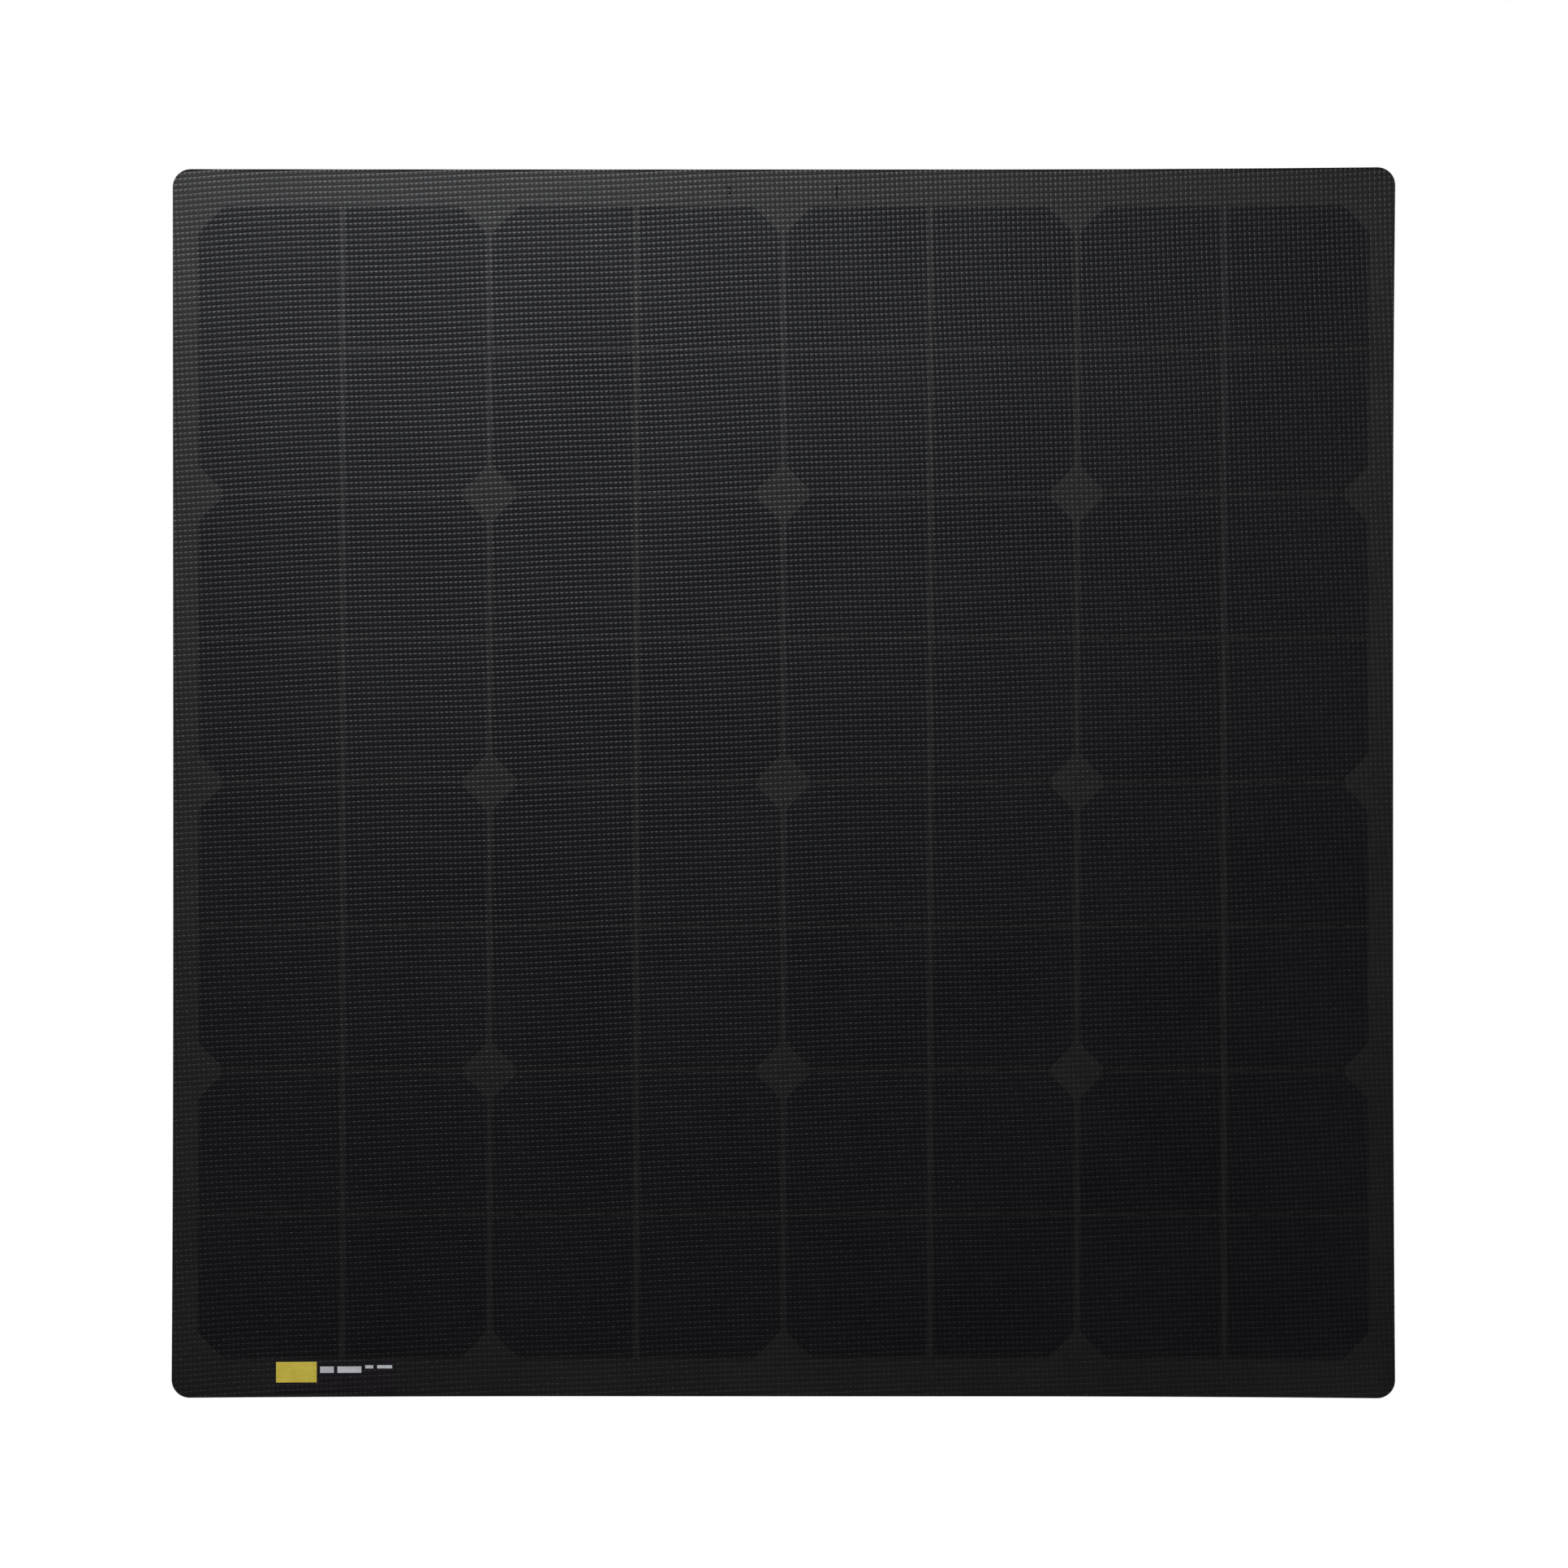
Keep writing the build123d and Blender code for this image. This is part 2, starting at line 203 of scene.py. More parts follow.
def weld_nodes(nodes, keep=None):
    """The nodes' shapes in one mesh, without the inner walls where two strips meet at a bend line."""
    bm = bmesh.new()
    for node in nodes:
        bm.from_mesh(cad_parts[node].data)
    inner = [f for f in bm.faces if any(all(abs(v.co.z - line) < TOUCH for v in f.verts) for line in BENDS)]
    bmesh.ops.delete(bm, geom=inner, context="FACES")
    bmesh.ops.remove_doubles(bm, verts=bm.verts, dist=TOUCH)
    if keep:
        bmesh.ops.delete(bm, geom=[f for f in bm.faces if not keep(f)], context="FACES")
    bmesh.ops.dissolve_limit(bm, angle_limit=math.radians(0.5), verts=bm.verts, edges=bm.edges)
    return bm


def copy_nodes(nodes, step_x=STEP_X, keep=None):
    """The nodes' shapes in one mesh, cut finely enough to bend and curl, with a cut at each zone's edge."""
    bm = weld_nodes(nodes, keep)
    columns = math.ceil(HALF_W / step_x)
    planes = [(Vector((x, 0, 0)), Vector((1, 0, 0))) for x in np.arange(-columns, columns + 1) * step_x]
    for zone in ZONES:
        count = max(1, round((zone.high - zone.low) / STEP_Z))
        cuts = np.linspace(zone.high, zone.low, count + 1)[1:]
        planes += [(Vector((0, 0, z)), Vector((0, 0, 1))) for z in cuts]
    low_x, high_x = min(v.co.x for v in bm.verts), max(v.co.x for v in bm.verts)
    low_z, high_z = min(v.co.z for v in bm.verts), max(v.co.z for v in bm.verts)
    for point, normal in planes:
        if low_x < point.x < high_x and normal.x or low_z < point.z < high_z and normal.z:
            geometry = bm.verts[:] + bm.edges[:] + bm.faces[:]
            bmesh.ops.bisect_plane(bm, geom=geometry, dist=1e-7, plane_co=point, plane_no=normal)
    return bm


def zone_of(z):
    """Index of the zone that holds a height."""
    return int((z < ZONE_EDGES).sum())


def build_layer(kind, materials, choose=None, keep=None, smooth=False):
    """One layer of the laminate, zone by zone, from the CAD nodes of its strips. Where a layer has two
    materials, choose says which of them a face has."""
    strips = [s for s in ("top", "upper", "lower", "bottom") if f"{kind}_{s}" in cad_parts]
    whole = copy_nodes([f"{kind}_{s}" for s in strips], keep=keep)
    for index, zone in enumerate(ZONES):
        part = whole.copy()
        outside = [f for f in part.faces if zone_of(f.calc_center_median().z) != index]
        bmesh.ops.delete(part, geom=outside, context="FACES")
        for f in part.faces:
            f.material_index = choose(f) if choose else 0
        mesh = bpy.data.meshes.new(f"{kind}_{zone.name}")
        part.to_mesh(mesh)
        part.free()
        warp_mesh(mesh)
        if smooth:
            smooth_by_angle(mesh)
        else:
            mesh.shade_flat()
        piece = add_object(f"{kind}_{zone.name}", mesh, materials)
        attach(piece, zone, [f"{kind}_{s}" for s in zone.strips])
    whole.free()


def copy_piece(node, name, material, body, step_x=STEP_X):
    """A copy of one CAD node that lies in the laminate and follows its curl."""
    bm = copy_nodes([node], step_x)
    for f in bm.faces:
        f.material_index = 0
    mesh = bpy.data.meshes.new(name)
    bm.to_mesh(mesh)
    bm.free()
    warp_mesh(mesh)
    smooth_by_angle(mesh)
    piece = add_object(name, mesh, [material])
    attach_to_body(piece, body)
    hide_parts(node)


# ---------------------------------------------------------------- material helpers


def grey(level):
    return (level, level, level)


def add_node(tree, kind, inputs=None, **settings):
    """A shader node. Inputs that are sockets are linked, and others are set."""
    node = tree.nodes.new(kind)
    for key, value in settings.items():
        setattr(node, key, value)
    for key, value in (inputs or {}).items():
        if isinstance(value, bpy.types.NodeSocket):
            tree.links.new(value, node.inputs[key])
        else:
            node.inputs[key].default_value = value
    return node


def new_surface(name, **inputs):
    """A material with its tree, its shader, and the place on the object that the patterns follow."""
    material = bpy.data.materials.new(name)
    material.use_nodes = True
    tree = material.node_tree
    shader = tree.nodes["Principled BSDF"]
    for key, value in inputs.items():
        shader.inputs[key].default_value = value
    place = add_node(tree, "ShaderNodeTexCoord").outputs["Object"]
    return material, tree, shader, place


def noise(tree, place, scale, detail=3.0):
    inputs = {"Vector": place, "Scale": scale, "Detail": detail, "Roughness": 0.5}
    return add_node(tree, "ShaderNodeTexNoise", inputs).outputs["Fac"]


def ramp(tree, value, low, high, from_low=0.35, from_high=0.65):
    """Stretches a value's range to run from low to high, and holds it there."""
    inputs = {"Value": value, "From Min": from_low, "From Max": from_high, "To Min": low, "To Max": high}
    return add_node(tree, "ShaderNodeMapRange", inputs).outputs["Result"]


def mix(tree, factor, dark, light):
    """A colour between two others, each of them a socket or three numbers."""
    node = add_node(tree, "ShaderNodeMix", {0: factor}, data_type="RGBA")
    for socket, colour in ((node.inputs[6], dark), (node.inputs[7], light)):
        if isinstance(colour, bpy.types.NodeSocket):
            tree.links.new(colour, socket)
        else:
            socket.default_value = (*colour, 1)
    return node.outputs[2]


def set_bump(tree, shader, height, distance):
    bump = add_node(tree, "ShaderNodeBump", {"Height": height, "Distance": distance, "Strength": 1.0})
    tree.links.new(bump.outputs["Normal"], shader.inputs["Normal"])


def grained(name, dark, light, rough, colour_scale=40, grain_scale=900, grain=0.00002, **inputs):
    """A moulded, coated or cast surface: blotched colour, uneven gloss and a fine grain."""
    material, tree, shader, place = new_surface(name, **inputs)
    blotch = ramp(tree, noise(tree, place, colour_scale), 0, 1)
    tree.links.new(mix(tree, blotch, dark, light), shader.inputs["Base Color"])
    tree.links.new(ramp(tree, noise(tree, place, colour_scale * 3), *rough), shader.inputs["Roughness"])
    set_bump(tree, shader, noise(tree, place, grain_scale, 2), grain)
    return material


def fibreglass_surface(name):
    """Dark laminate with the faint weave of its glass cloth."""
    material, tree, shader, place = new_surface(name, IOR=1.5)
    weave = []
    for direction in ("X", "Z"):
        inputs = {"Vector": place, "Scale": 105.0, "Distortion": 0.3, "Detail": 1.0}
        bands = add_node(tree, "ShaderNodeTexWave", inputs, wave_type="BANDS", bands_direction=direction)
        weave.append(bands.outputs["Fac"])
    cloth = add_node(tree, "ShaderNodeMath", {0: weave[0], 1: weave[1]}, operation="MULTIPLY").outputs[0]
    blotch = ramp(tree, noise(tree, place, 22), 0, 1)
    ground = mix(tree, blotch, (0.010, 0.0105, 0.011), (0.013, 0.0135, 0.014))
    thread = mix(tree, ramp(tree, cloth, 0, 1, 0.0, 1.0), ground, (0.034, 0.035, 0.036))
    tree.links.new(thread, shader.inputs["Base Color"])
    tree.links.new(ramp(tree, noise(tree, place, 60), 0.44, 0.48), shader.inputs["Roughness"])
    set_bump(tree, shader, cloth, 0.00012)
    return material


def cell_surface(name):
    """Near-black silicon. Its tint differs a little from one quarter cell to the next, and each quarter's edge
    is paler, where the film pools around it."""
    material, tree, shader, place = new_surface(name, IOR=1.1)

    def calculate(operation, first, second=0.0):
        return add_node(tree, "ShaderNodeMath", {0: first, 1: second}, operation=operation).outputs[0]

    split = add_node(tree, "ShaderNodeSeparateXYZ", {0: place}).outputs
    from_line = calculate("SUBTRACT", split["Z"], ROW_LINE)
    column = calculate("FLOOR", calculate("DIVIDE", split["X"], COLUMN_PITCH))
    row = calculate("FLOOR", calculate("DIVIDE", from_line, ROW_PITCH))
    index = add_node(tree, "ShaderNodeCombineXYZ", {0: column, 1: row}).outputs[0]
    chance = add_node(tree, "ShaderNodeTexWhiteNoise", {0: index}, noise_dimensions="2D").outputs["Value"]
    # distance to the nearest gap's centre line, and the rim from there
    side_x = calculate("PINGPONG", split["X"], COLUMN_PITCH / 2)
    side_z = calculate("PINGPONG", from_line, ROW_PITCH / 2)
    rim_x = ramp(tree, side_x, 1, 0, COLUMN_GAP / 2, COLUMN_GAP / 2 + RIM_WIDTH)
    rim_z = ramp(tree, side_z, 1, 0, ROW_GAP / 2, ROW_GAP / 2 + RIM_WIDTH)
    rim = calculate("MAXIMUM", rim_x, rim_z)
    cloud = ramp(tree, noise(tree, place, 14), 0, 1)
    deep = mix(tree, chance, (0.0042, 0.0043, 0.0052), (0.0049, 0.0050, 0.0059))
    tint = mix(tree, cloud, deep, (0.0054, 0.0055, 0.0064))
    tree.links.new(mix(tree, rim, tint, (0.0078, 0.0079, 0.0080)), shader.inputs["Base Color"])
    tree.links.new(ramp(tree, noise(tree, place, 30), 0.32, 0.42), shader.inputs["Roughness"])
    return material


def coated_ribbon(name):
    """Tinned copper ribbon with a black coating on the side that faces the front."""
    material, tree, shader, place = new_surface(name, IOR=1.15)
    normal = add_node(tree, "ShaderNodeNewGeometry").outputs["Normal"]
    facing = add_node(tree, "ShaderNodeSeparateXYZ", {0: normal}).outputs["Y"]
    bare = ramp(tree, facing, 0, 1, -0.6, -0.5)
    blotch = ramp(tree, noise(tree, place, 300), 0, 1)
    tin = mix(tree, blotch, (0.50, 0.50, 0.49), (0.66, 0.66, 0.64))
    tree.links.new(mix(tree, bare, (0.0086, 0.0086, 0.0084), tin), shader.inputs["Base Color"])
    tree.links.new(bare, shader.inputs["Metallic"])
    tree.links.new(ramp(tree, noise(tree, place, 500), 0.42, 0.58), shader.inputs["Roughness"])
    return material


# ---------------------------------------------------------------- materials

# each with its name, its darkest and lightest colour, and its lowest and highest roughness

clear_face = grained(
    "clear_face", grey(0.0004), grey(0.0008), (0.42, 0.50),
    colour_scale=35, grain_scale=2600, grain=0.000006, Alpha=0.15, IOR=1.5,
)
clear_edge = grained(
    "clear_edge", grey(0.010), grey(0.020), (0.35, 0.5), grain_scale=1500, Alpha=0.8, IOR=1.5,
)
film_face = grained("film_face", grey(0.001), grey(0.002), (0.4, 0.5), Alpha=0.04, IOR=1.05)
film_edge = grained(
    "film_edge", (0.014, 0.014, 0.013), (0.024, 0.024, 0.022), (0.4, 0.5), Alpha=0.85, IOR=1.45,
)
rear_film = grained(
    "rear_film", (0.0079, 0.0079, 0.0077), (0.0095, 0.0095, 0.0092), (0.5, 0.6), colour_scale=16, IOR=1.15,
)
fibreglass = fibreglass_surface("fibreglass_weave")
silicon = cell_surface("silicon_cells")
tab_black = grained(
    "tab_black", (0.0042, 0.0042, 0.0044), (0.0058, 0.0058, 0.0060), (0.45, 0.55), IOR=1.2,
)
ribbon = coated_ribbon("coated_ribbon")
label_ground = grained(
    "label_ground", (0.0120, 0.0095, 0.0135), (0.0145, 0.0115, 0.0160), (0.5, 0.6),
    colour_scale=120, Alpha=0.4, IOR=1.1,
)
label_yellow = grained("label_yellow", (0.40, 0.32, 0.040), (0.46, 0.37, 0.050), (0.4, 0.5), colour_scale=200)
label_grey = grained("label_grey", (0.34, 0.34, 0.36), (0.42, 0.42, 0.44), (0.4, 0.5), colour_scale=200)
sealant = grained(
    "sealant", grey(0.010), grey(0.018), (0.28, 0.42), colour_scale=90, grain_scale=350, grain=0.00006,
)
box_plastic = grained(
    "box_plastic", (0.014, 0.014, 0.0145), (0.017, 0.017, 0.0175), (0.46, 0.50),
    colour_scale=30, grain_scale=1500, grain=0.00006,
)
nut_plastic = grained(
    "nut_plastic", (0.016, 0.016, 0.0165), (0.019, 0.019, 0.0195), (0.38, 0.42),
    colour_scale=60, grain_scale=1800, grain=0.00003,
)
rubber = grained("seal_rubber", grey(0.016), grey(0.026), (0.62, 0.75), grain_scale=3000)
gasket_rubber = grained("gasket_rubber", grey(0.020), grey(0.030), (0.6, 0.72), grain_scale=3000)
potting = grained(
    "potting", (0.006, 0.006, 0.0065), grey(0.012), (0.10, 0.22),
    colour_scale=45, grain_scale=160, grain=0.00012, IOR=1.42,
)
copper = grained(
    "tinned_copper", (0.52, 0.50, 0.46), (0.68, 0.66, 0.62), (0.24, 0.38),
    colour_scale=140, grain_scale=2400, Metallic=1.0,
)
diode = grained("diode_body", grey(0.010), grey(0.018), (0.35, 0.5), colour_scale=300)

# ---------------------------------------------------------------- embossed front sheet


def lattice_place(a, b):
    """Place on the panel of lattice coordinates counted in bumps."""
    u, v = a * BUMP_W, b * BUMP_H
    x = u * math.cos(COLUMN_TILT) - v * math.sin(COLUMN_TILT)
    z = u * math.sin(ROW_TILT) + v * math.cos(ROW_TILT)
    # the rows climb more steeply near the left edge, and both directions wander a little
    z = z - math.tan(ROW_TILT) * STEEP_EDGE * np.exp(-(x + HALF_W) / STEEP_EDGE)
    z = z + 0.0003 * np.sin(x * 23 + 1.3) + 0.0002 * np.sin(x * 61 + z * 11)
    x = x + 0.0003 * np.sin(z * 19 + 0.5) + 0.0002 * np.sin(z * 53 - x * 7)
    return x, z


def scatter(i, j):
    """A repeatable number from 0 to 1 for each bump."""
    mixed = np.sin(i * 127.1 + j * 311.7) * 43758.5453
    return mixed - np.floor(mixed)


def bump_shape(i, j, s, t):
    """Height, and slopes in x and z, on bump (i, j) at the place (s, t) across it and up it, from 0 to 1.
    Height and slopes are shares of the relief and of the steepest slope."""
    tall = (i + j) % 2 == 0
    across, up = 2 * s - 1, 2 * t - 1
    fall_x, fall_z = np.abs(across) ** (FLATNESS + 1), np.abs(up) ** (FLATNESS + 1)
    height = (1 - fall_x) * (1 - fall_z)
    slope_x = -np.sign(across) * np.abs(across) ** FLATNESS * (1 - ROUNDING * fall_z)
    slope_z = -np.sign(up) * np.abs(up) ** FLATNESS * (1 - ROUNDING * fall_x)
    # a low bump carries a ridge along one diagonal
    off_ridge = across - up
    ridge = np.where(tall, 0, 1 - np.minimum(np.abs(off_ridge), 1))
    lean = np.where(tall, 0, -RIDGE_SLOPE * np.sign(off_ridge) * (np.abs(off_ridge) < RIDGE_REACH))
    size = np.where(tall, 1.0, LOW_BUMP) * (SMALLEST_BUMP + BUMP_SPREAD * scatter(i, j))
    return height * (size + RIDGE_HEIGHT * ridge), slope_x * size + lean, slope_z * size - lean


def embossed_face():
    """The face's points, the quads between them, and each quad's place in the lattice in steps of a bump."""
    count_a = int(GRID_REACH_X / BUMP_W) * BUMP_STEPS
    count_b = int(GRID_REACH_Z / BUMP_H) * BUMP_STEPS
    steps_a, steps_b = np.arange(-count_a, count_a + 1), np.arange(-count_b, count_b + 1)
    a, b = (grid.ravel() for grid in np.meshgrid(steps_a, steps_b))
    x, z = lattice_place(a / BUMP_STEPS, b / BUMP_STEPS)
    share_a, share_b = (a % BUMP_STEPS) / BUMP_STEPS, (b % BUMP_STEPS) / BUMP_STEPS
    height = bump_shape(a // BUMP_STEPS, b // BUMP_STEPS, share_a, share_b)[0]

    # points past the outline, or almost on it, move onto it
    inside = outline_distance(x, z) < -OUTLINE_MARGIN
    edge_x, edge_z = onto_outline(x, z)
    x, z = np.where(inside, x, edge_x), np.where(inside, z, edge_z)
    y = FRONT_Y + BUMP_RELIEF * np.where(inside, 1 - height, OUTLINE_DEPTH)

    # each quad lies wholly on one bump
    columns = len(steps_a)
    quad_a, quad_b = (grid.ravel() for grid in np.meshgrid(steps_a[:-1], steps_b[:-1]))
    corner = (quad_b + count_b) * columns + quad_a + count_a
    quads = np.stack([corner, corner + 1, corner + 1 + columns, corner + columns], 1)
    kept = inside[quads].any(1)
    return np.stack([x, y, z], 1), quads[kept], quad_a[kept], quad_b[kept]


def bump_normals(points, quads, quad_a, quad_b):
    """A normal for each corner of a quad, as the round bump has it, so that bumps meet in creases."""
    share_a = ((quad_a % BUMP_STEPS)[:, None] + np.array([0, 1, 1, 0])) / BUMP_STEPS
    share_b = ((quad_b % BUMP_STEPS)[:, None] + np.array([0, 0, 1, 1])) / BUMP_STEPS
    bump_a, bump_b = (quad_a // BUMP_STEPS)[:, None], (quad_b // BUMP_STEPS)[:, None]
    slope_x, slope_z = bump_shape(bump_a, bump_b, share_a, share_b)[1:]
    # the slopes of the sheet's own lie, measured over a short way in each direction
    flat = points * (1, 0, 1)
    way = 0.001
    way_x, way_z = np.array([way, 0, 0]), np.array([0, 0, way])
    lie_x = (warp(flat - way_x) - warp(flat + way_x))[:, 1] / (2 * way)
    lie_z = (warp(flat - way_z) - warp(flat + way_z))[:, 1] / (2 * way)
    normal_x = -STEEPEST * slope_x - lie_x[quads]
    normal_z = -STEEPEST * slope_z - lie_z[quads]
    normals = np.stack([normal_x, -np.ones_like(normal_x), normal_z], 2)
    return normals / np.linalg.norm(normals, axis=2, keepdims=True)


def rim_walls(points, quads):
    """Walls from the face's rim down to the sheet's rear, one under each side that only one quad has. Gives
    their points, the walls, their normals and the quad that each wall stands under."""
    sides = np.stack([quads, np.roll(quads, -1, 1)], 2).reshape(-1, 2)
    owner = np.repeat(np.arange(len(quads)), 4)
    key = np.sort(sides, 1) @ np.array([len(points), 1])
    first, times = np.unique(key, return_index=True, return_counts=True)[1:]
    lone = first[times == 1]
    side_start, side_end = points[sides[lone, 0]], points[sides[lone, 1]]
    along = side_end - side_start
    out = np.stack([-along[:, 2], np.zeros(len(lone)), along[:, 0]], 1)
    length = np.linalg.norm(out, axis=1)
    long_enough = length > TOUCH
    head = np.stack([side_end, side_start], 1)[long_enough].reshape(-1, 3)
    foot = head.copy()
    foot[:, 1] = SHEET_REAR_Y
    n = len(points) + np.arange(0, len(head), 2)
    walls = np.stack([n, n + 1, n + 1 + len(head), n + len(head)], 1)
    out = out[long_enough] / length[long_enough, None]
    return np.concatenate([head, foot]), walls, out, owner[lone][long_enough]


def build_front_sheet():
    """The embossed face and its rim, cut into zones and down the middle."""
    points, quads, quad_a, quad_b = embossed_face()
    wall_points, walls, out, owner = rim_walls(points, quads)
    faces = np.concatenate([quads, walls])
    is_wall = np.arange(len(faces)) >= len(quads)
    normals = bump_normals(points, quads, quad_a, quad_b)
    normals = np.concatenate([normals, np.repeat(out[:, None, :], 4, 1)])
    # a wall goes with the quad that it stands under
    centre_x, centre_z = points[quads, 0].mean(1), points[quads, 2].mean(1)
    centre_x = np.concatenate([centre_x, centre_x[owner]])
    centre_z = np.concatenate([centre_z, centre_z[owner]])
    co = warp(np.concatenate([points, wall_points]))
    zone_index = (centre_z[:, None] < ZONE_EDGES[None, :]).sum(1)
    for index, zone in enumerate(ZONES):
        for side, name in ((centre_x < 0, "left"), (centre_x >= 0, "right")):
            chosen = (zone_index == index) & side
            used, local = np.unique(faces[chosen], return_inverse=True)
            title = f"front_sheet_{zone.name}_{name}"
            mesh = bpy.data.meshes.new(title)
            mesh.from_pydata(co[used], [], local.reshape(-1, 4))
            mesh.polygons.foreach_set("material_index", is_wall[chosen].astype(np.int32))
            mesh.shade_smooth()
            mesh.normals_split_custom_set(normals[chosen].reshape(-1, 3))
            piece = add_object(title, mesh, [clear_face, clear_edge])
            attach(piece, zone, [f"front_sheet_{s}" for s in zone.strips])


build_front_sheet()

# ---------------------------------------------------------------- laminate under the sheet


def on_outline(face):
    return all(abs(outline_distance(np.float64(v.co.x), np.float64(v.co.z))) < 5e-5 for v in face.verts)


def faces_front_or_rear(face):
    return abs(face.normal.y) > 0.5


def encapsulant_skin(face):
    """The clear film shows only as its front face and its edge. Its pockets are filled by the cells."""
    front = all(abs(v.co.y - SHEET_REAR_Y) < TOUCH for v in face.verts)
    return front or (on_outline(face) and not faces_front_or_rear(face))


build_layer("back_laminate", [fibreglass], smooth=True)
build_layer("rear_encapsulant", [rear_film])
build_layer("cell_tabs", [tab_black])
build_layer("cells", [silicon])
build_layer(
    "front_encapsulant", [film_face, film_edge],
    choose=lambda face: 0 if faces_front_or_rear(face) else 1, keep=encapsulant_skin,
)

# ---------------------------------------------------------------- ribbons and leads

copy_piece("top_bus_ribbons", "top_bus_ribbons_laid", ribbon, "top_strip")
copy_piece("bottom_bus_ribbons", "bottom_bus_ribbons_laid", ribbon, "bottom_strip")
for pole in ("positive", "middle", "negative"):
    copy_piece(f"lead_ribbon_{pole}", f"lead_ribbon_{pole}_laid", ribbon, "top_strip")

# ---------------------------------------------------------------- label film with its printed marks

INK = 0.00002

copy_piece("label_film", "label_film_laid", label_ground, "bottom_strip", step_x=LABEL_STEP)


def print_mark(name, left, top, width, height, material):
    """A printed patch on the label film: a thin open box, in short lengths that follow the film's curl."""
    lengths = max(1, round(width / LABEL_STEP))
    xs = np.linspace(left, left + width, lengths + 1)
    zs = np.array([top, top - height])
    corners = [(x, y, z) for y in (LABEL_FRONT_Y - INK, LABEL_FRONT_Y) for z in zs for x in xs]
    # the corners lie in four rows: front top, front bottom, rear top and rear bottom
    row = lengths + 1
    faces = []
    for n in range(lengths):
        faces.append((n, row + n, row + n + 1, n + 1))
        faces.append((n, n + 1, 2 * row + n + 1, 2 * row + n))
        faces.append((row + n + 1, row + n, 3 * row + n, 3 * row + n + 1))
    faces.append((0, 2 * row, 3 * row, row))
    faces.append((row - 1, 2 * row - 1, 4 * row - 1, 3 * row - 1))
    mesh = bpy.data.meshes.new(name)
    mesh.from_pydata(warp(np.array(corners)), [], faces)
    mesh.update()
    piece = add_object(name, mesh, [material])
    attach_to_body(piece, "bottom_strip")


print_mark("label_mark_patch", -0.2229, -0.2546, 0.0178, 0.0090, label_yellow)
bars = [
    # left edge, top edge, width, height
    (-0.2036, -0.2567, 0.0060, 0.0028),
    (-0.1960, -0.2567, 0.0105, 0.0028),
    (-0.1838, -0.2562, 0.0035, 0.0014),
    (-0.1786, -0.2562, 0.0066, 0.0014),
]
for number, bar in enumerate(bars, start=1):
    print_mark(f"label_mark_bar_{number}", *bar, label_grey)

# ---------------------------------------------------------------- junction box

GASKET_CLEARANCE = 0.00003

# The bead of sealant around the box's foot, and its outline across: the share of its width outwards from the
# box's wall, and the share of its height, down to the laminate and back under it
PAD_CORNER_R = 0.005
BEAD_WIDTH, BEAD_HEIGHT = 0.0019, 0.0016
BEAD_SWELL = 0.9
BEAD_STEP = 0.0015
BEAD_PROFILE = [
    (-0.1, 1.0), (0.25, 0.93), (0.55, 0.72), (0.82, 0.38), (1.0, 0.0), (0.5, -0.08), (-0.1, -0.08),
]
BEAD_RANDOM = np.random.default_rng(5)

looks = {
    "box_adhesive_pad": sealant,
    "box_base": box_plastic,
    "box_lid": box_plastic,
    "box_potting": potting,
    "terminal_positive": copper,
    "terminal_middle": copper,
    "terminal_negative": copper,
    "bypass_diode_left": diode,
    "bypass_diode_right": diode,
    "gland_seal_left": rubber,
    "gland_seal_right": rubber,
    "gland_nut_left": nut_plastic,
    "gland_nut_right": nut_plastic,
}
for node, material in looks.items():
    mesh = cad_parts[node].data
    mesh.materials.clear()
    mesh.materials.append(material)


def build_gasket():
    """The gasket a hair thinner than in the CAD, so that the lid lies on it without shared faces."""
    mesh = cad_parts["lid_gasket"].data.copy()
    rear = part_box("lid_gasket")[1].y
    for vertex in mesh.vertices:
        if rear - vertex.co.y < GASKET_CLEARANCE:
            vertex.co.y = rear - GASKET_CLEARANCE
    mesh.materials.clear()
    gasket = add_object("lid_gasket_seated", mesh, [gasket_rubber])
    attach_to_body(gasket, "top_strip")
    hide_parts("lid_gasket")


def foot_path():
    """The pad's outline in x and z, in short steps, with the way outwards at each point."""
    corners = [(pad_high.x, pad_high.z, 0), (pad_low.x, pad_high.z, 90), (pad_low.x, pad_low.z, 180)]
    corners.append((pad_high.x, pad_low.z, 270))
    foot, ways = [], []
    for x, z, start in corners:
        centre_x = x - math.copysign(PAD_CORNER_R, x)
        centre_z = z - PAD_CORNER_R if start < 180 else z + PAD_CORNER_R
        for angle in np.radians(start + np.linspace(0, 90, 7)):
            way = (math.cos(angle), math.sin(angle))
            foot.append((centre_x + PAD_CORNER_R * way[0], centre_z + PAD_CORNER_R * way[1]))
            ways.append(way)
    path, outward = [], []
    for n in range(len(foot)):
        here, there = np.array(foot[n]), np.array(foot[(n + 1) % len(foot)])
        way, next_way = np.array(ways[n]), np.array(ways[(n + 1) % len(foot)])
        steps = max(1, round(float(np.linalg.norm(there - here)) / BEAD_STEP))
        for k in range(steps):
            path.append(here + (there - here) * k / steps)
            outward.append(way + (next_way - way) * k / steps)
    return np.array(path), np.array(outward)


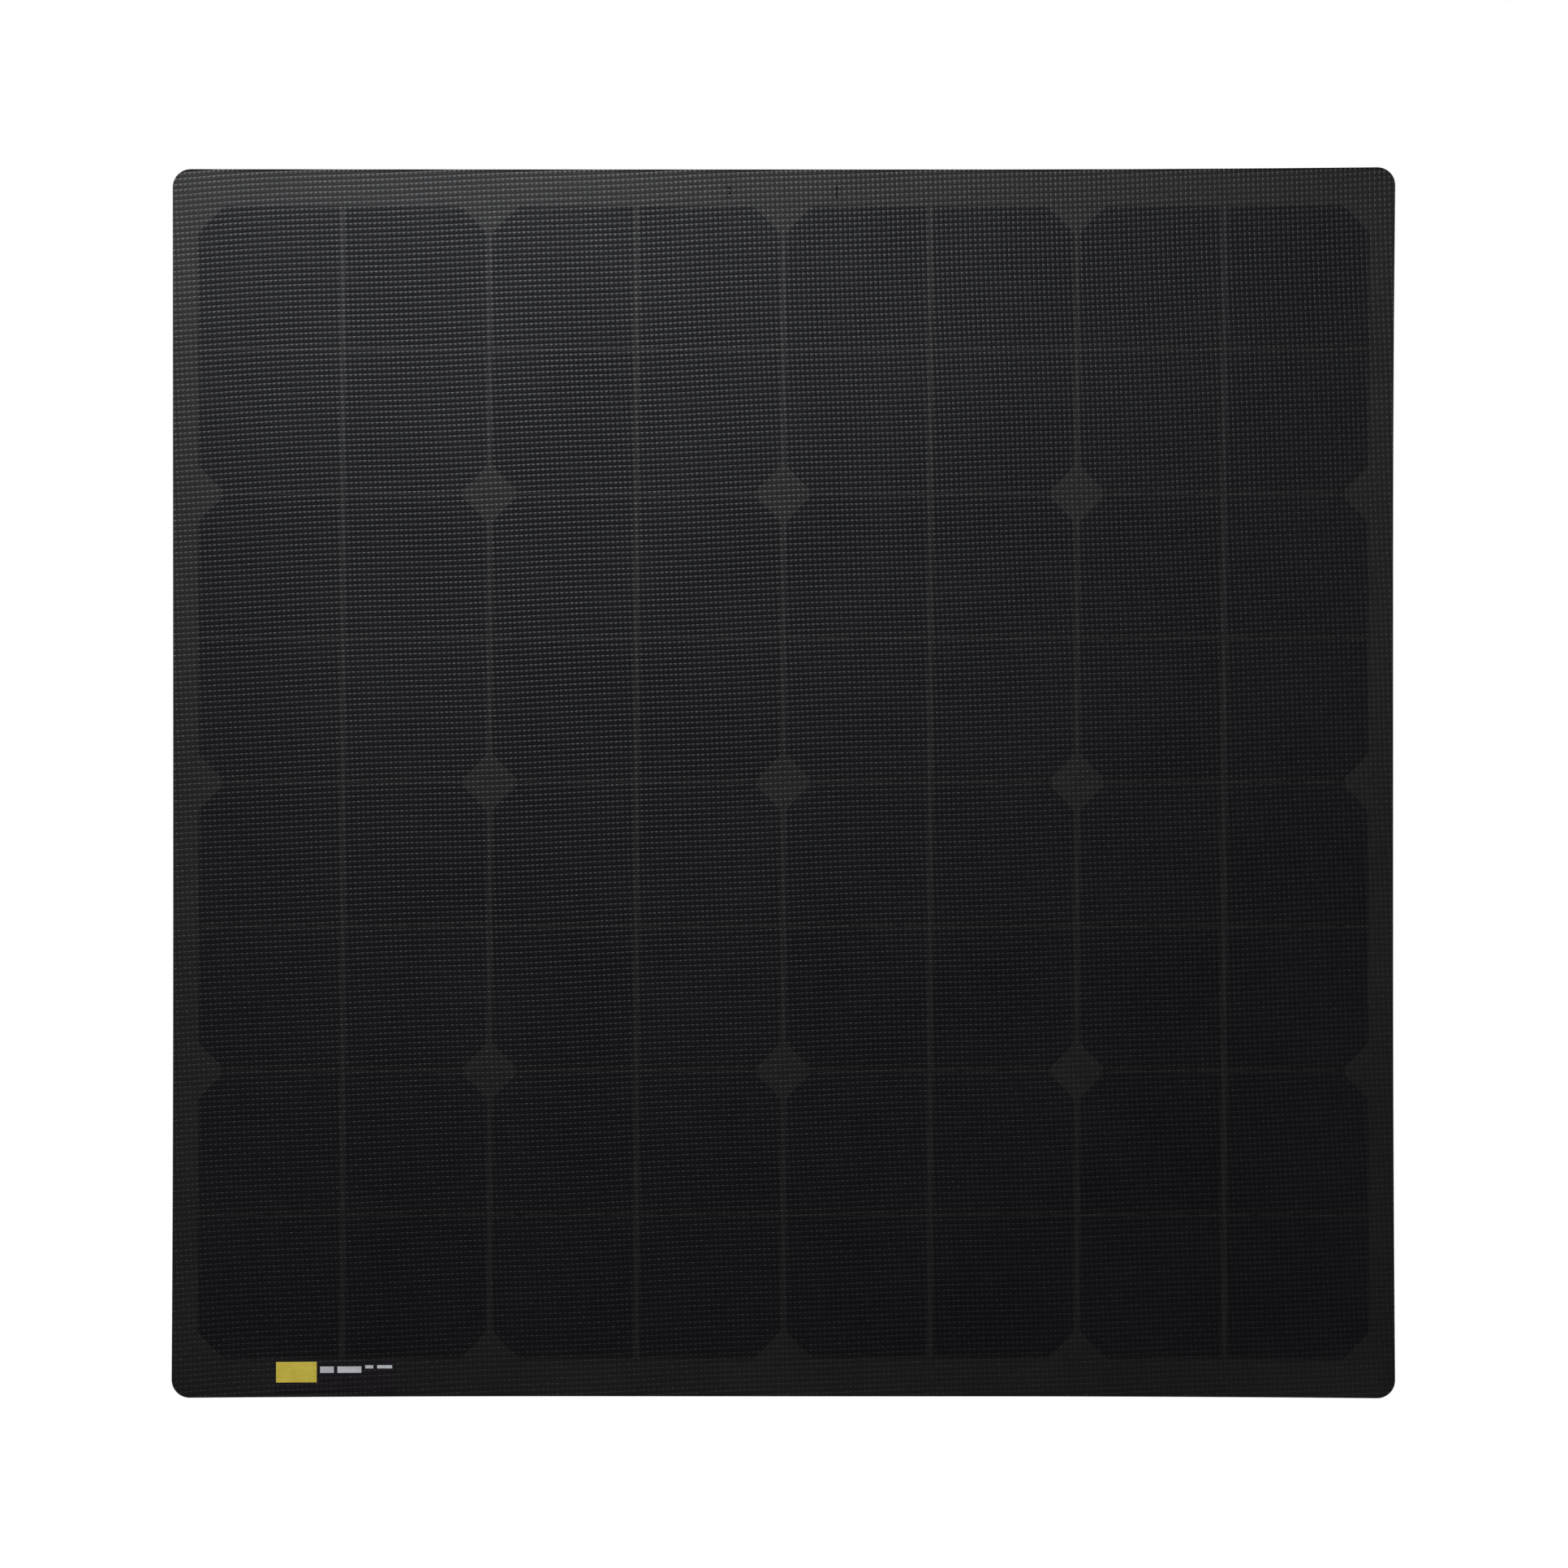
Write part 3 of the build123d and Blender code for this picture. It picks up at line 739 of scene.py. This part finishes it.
def build_sealant_bead():
    """The adhesive squeezed out around the foot of the junction box, a little uneven along its length."""
    path, outward = foot_path()
    count = len(path)
    swell = BEAD_RANDOM.uniform(-1, 1, count)
    for _ in range(6):
        swell = (swell + np.roll(swell, 1) + np.roll(swell, -1)) / 3
    width = BEAD_WIDTH * (1 + BEAD_SWELL * swell)
    rings = []
    for share, rise in BEAD_PROFILE:
        place = path + outward * (width * share)[:, None]
        rings.append(np.stack([place[:, 0], rise * BEAD_HEIGHT * width / BEAD_WIDTH, place[:, 1]], 1))
    faces = []
    for ring in range(len(rings)):
        next_ring = (ring + 1) % len(rings)
        for n in range(count):
            m = (n + 1) % count
            faces.append((ring * count + n, next_ring * count + n, next_ring * count + m, ring * count + m))
    mesh = bpy.data.meshes.new("box_sealant_bead")
    mesh.from_pydata(np.concatenate(rings), [], faces)
    bm = bmesh.new()
    bm.from_mesh(mesh)
    bmesh.ops.recalc_face_normals(bm, faces=bm.faces)
    bm.to_mesh(mesh)
    bm.free()
    smooth_by_angle(mesh, 60)
    bead = add_object("box_sealant_bead", mesh, [sealant])
    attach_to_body(bead, "top_strip")


build_gasket()
build_sealant_bead()

# ---------------------------------------------------------------- studio

FLOOR_RADIUS = 12
FLOOR_DROP = 0.35
ROOM_LIGHT = 0.05


def build_floor():
    """A pale floor that fades into the white ground."""
    place = (0, 0, -HALF_H - FLOOR_DROP)
    bpy.ops.mesh.primitive_circle_add(vertices=96, radius=FLOOR_RADIUS, fill_type="NGON", location=place)
    floor = bpy.context.object
    floor.name = "floor"
    material = bpy.data.materials.new("floor_paint")
    material.cycles.emission_sampling = "NONE"
    material.use_nodes = True
    tree = material.node_tree
    tree.nodes.clear()
    place = add_node(tree, "ShaderNodeTexCoord").outputs["Object"]
    reach = add_node(tree, "ShaderNodeVectorMath", {0: place}, operation="LENGTH").outputs["Value"]
    far = ramp(tree, reach, 0.0, 1.0, 0.6, 2.4)
    grain = ramp(tree, noise(tree, place, 3), 0.925, 0.94)
    level = mix(tree, far, grain, (1.0, 1.0, 1.0))
    glow = add_node(tree, "ShaderNodeEmission", {"Color": level, "Strength": 1.0})
    paint = add_node(tree, "ShaderNodeBsdfDiffuse", {"Color": (0.10, 0.10, 0.10, 1)})
    both = add_node(tree, "ShaderNodeAddShader", {0: glow.outputs[0], 1: paint.outputs[0]})
    output = add_node(tree, "ShaderNodeOutputMaterial")
    tree.links.new(both.outputs[0], output.inputs["Surface"])
    floor.data.materials.append(material)
    # the lamps and the dim room light the object, and the floor's glow does not
    floor.visible_diffuse = False
    floor.visible_glossy = False


def build_world():
    """White ground behind the object, and a dim room around it that its gloss doesn't show."""
    world = bpy.data.worlds.new("room")
    bpy.context.scene.world = world
    world.use_nodes = True
    world.cycles.sampling_method = "NONE"
    tree = world.node_tree
    tree.nodes.clear()

    def background(strength):
        inputs = {"Color": (1, 1, 1, 1), "Strength": strength}
        return add_node(tree, "ShaderNodeBackground", inputs).outputs[0]

    path = add_node(tree, "ShaderNodeLightPath").outputs
    room_inputs = {0: path["Is Glossy Ray"], 1: background(ROOM_LIGHT), 2: background(0.0)}
    room = add_node(tree, "ShaderNodeMixShader", room_inputs)
    both_inputs = {0: path["Is Camera Ray"], 1: room.outputs[0], 2: background(1.0)}
    both = add_node(tree, "ShaderNodeMixShader", both_inputs)
    output = add_node(tree, "ShaderNodeOutputWorld")
    tree.links.new(both.outputs[0], output.inputs["Surface"])


def add_light(name, place, target, size, power):
    light = bpy.data.lights.new(name, "AREA")
    light.shape = "RECTANGLE"
    light.size, light.size_y = size
    light.energy = power
    light.cycles.use_multiple_importance_sampling = False
    holder = bpy.data.objects.new(name, light)
    bpy.context.scene.collection.objects.link(holder)
    holder.location = place
    holder.rotation_mode = "QUATERNION"
    holder.rotation_quaternion = (Vector(target) - Vector(place)).to_track_quat("-Z", "Y")
    holder.visible_camera = False
    return holder


build_floor()
build_world()
key = add_light("key", (-0.26, -0.45, 0.71), (0, 0, 0), (0.35, 0.25), 22.3)
key.data.color = (0.94, 0.955, 1.0)
fill = add_light("fill", (0.2, -1.7, 0.6), (0, 0, 0), (2.4, 2.4), 39)
fill.visible_glossy = False
add_light("rear", (-0.5, 1.2, 0.9), (0, 0, 0.05), (0.9, 0.7), 22)
add_light("rear_fill", (0.9, 1.1, 0.1), (0, 0, 0.1), (0.6, 0.8), 7)

# ---------------------------------------------------------------- camera, straight in front of the panel

CAMERA_DISTANCE = 1.5
VIEW_WIDTH = 0.690
SENSOR = 36

camera = bpy.data.objects.new("camera", bpy.data.cameras.new("camera"))
bpy.context.scene.collection.objects.link(camera)
camera.data.sensor_width = SENSOR
camera.data.lens = SENSOR * CAMERA_DISTANCE / VIEW_WIDTH
camera.location = (0.0004, FRONT_Y - CAMERA_DISTANCE, -0.0005)
camera.rotation_euler = (math.pi / 2, 0, 0)
bpy.context.scene.camera = camera
bpy.context.scene.view_settings.view_transform = "Standard"
